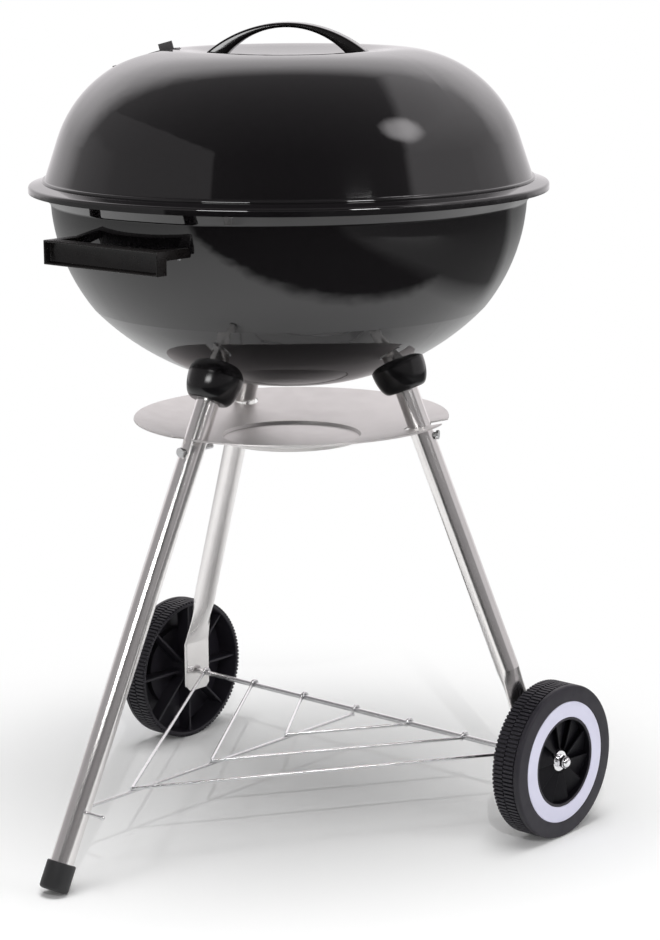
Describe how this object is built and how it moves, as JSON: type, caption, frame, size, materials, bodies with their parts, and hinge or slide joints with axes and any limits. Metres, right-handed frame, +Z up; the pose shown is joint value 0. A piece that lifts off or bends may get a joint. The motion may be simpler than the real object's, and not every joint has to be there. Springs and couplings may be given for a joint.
{
  "type": "kettle charcoal grill",
  "caption": "Round enamelled kettle grill with a lift-off lid, turning dampers, side handle, ash pan, wire rack and a leg stand with wheels at the back.",
  "frame": {"origin": "on the ground under the middle of the outline", "axes": "+Z up, -Y to the front, where the plain leg and the side handle are, +X along the axle"},
  "size_m": [0.5306, 0.584, 0.764],
  "materials": {
    "enamel": "gloss black vitreous enamel",
    "handle_plastic": "moulded black, fine grain",
    "socket_black": "satin black",
    "leg_chrome": "bright plated tube",
    "axle_steel": "bright zinc plate",
    "rack_wire": "bright zinc-plated wire",
    "grate_wire": "plated wire",
    "pan_aluminium": "satin sheet",
    "damper_sheet": "dark satin sheet",
    "fastener_steel": "zinc plate",
    "wheel_plastic": "moulded charcoal",
    "ring_plastic": "moulded pale grey",
    "foot_rubber": "moulded black cap"
  },
  "bodies": {
    "stand": {"bowl_shell": "enamel", "side_handle": "handle_plastic", "side_handle_screws": "fastener_steel", "grate_brackets": "grate_wire", "charcoal_grate_ring": "grate_wire", "charcoal_grate_bars": "grate_wire", "bowl_vent_rivet": "fastener_steel", "front_socket": "socket_black", "right_socket": "socket_black", "left_socket": "socket_black", "socket_bolts": "fastener_steel", "front_leg": "leg_chrome", "right_leg": "leg_chrome", "left_leg": "leg_chrome", "foot_cap": "foot_rubber", "ash_catcher": "pan_aluminium", "ash_catcher_screws": "fastener_steel", "axle": "axle_steel", "inner_washers": "fastener_steel", "outer_washers": "fastener_steel", "axle_nuts": "fastener_steel", "rack_spine": "rack_wire", "rack_stop": "rack_wire", "rack_arm_right_1": "rack_wire", "rack_arm_left_1": "rack_wire", "rack_arm_right_2": "rack_wire", "rack_arm_left_2": "rack_wire", "rack_arm_right_3": "rack_wire", "rack_arm_left_3": "rack_wire"},
    "lid": {"lid_shell": "enamel", "lid_handle": "handle_plastic", "lid_handle_screws": "fastener_steel", "lid_vent_rivet": "fastener_steel"},
    "lid_damper": {"lid_damper": "damper_sheet"},
    "bowl_damper": {"bowl_damper": "damper_sheet"},
    "cooking_grate": {"cooking_grate_ring": "grate_wire", "cooking_grate_bars": "grate_wire"},
    "right_wheel": {"right_wheel": "wheel_plastic", "right_wheel_ring": "ring_plastic"},
    "left_wheel": {"left_wheel": "wheel_plastic", "left_wheel_ring": "ring_plastic"}
  },
  "joints": [
    {"name": "lid_lift", "type": "slide", "parent": "stand", "child": "lid", "axis": [0, 0, 1], "range_m": [0, 0.3]},
    {"name": "lid_vent_turn", "type": "hinge", "parent": "lid", "child": "lid_damper", "pos_m": [-0.10954, -0.02973, 0.73086], "axis": [-0.2134, -0.1494, 0.9655], "range_deg": [-45, 45]},
    {"name": "bowl_vent_turn", "type": "hinge", "parent": "stand", "child": "bowl_damper", "pos_m": [0, 0.04698, 0.432], "axis": [0, 0, 1], "range_deg": [-60, 60]},
    {"name": "right_wheel_spin", "type": "hinge", "parent": "stand", "child": "right_wheel", "pos_m": [0.24, 0.13998, 0.074], "axis": [1, 0, 0], "continuous": true},
    {"name": "left_wheel_spin", "type": "hinge", "parent": "stand", "child": "left_wheel", "pos_m": [-0.24, 0.13998, 0.074], "axis": [1, 0, 0], "continuous": true},
    {"name": "cooking_grate_lift", "type": "slide", "parent": "stand", "child": "cooking_grate", "axis": [0, 0, 1], "range_m": [0, 0.04]}
  ]
}
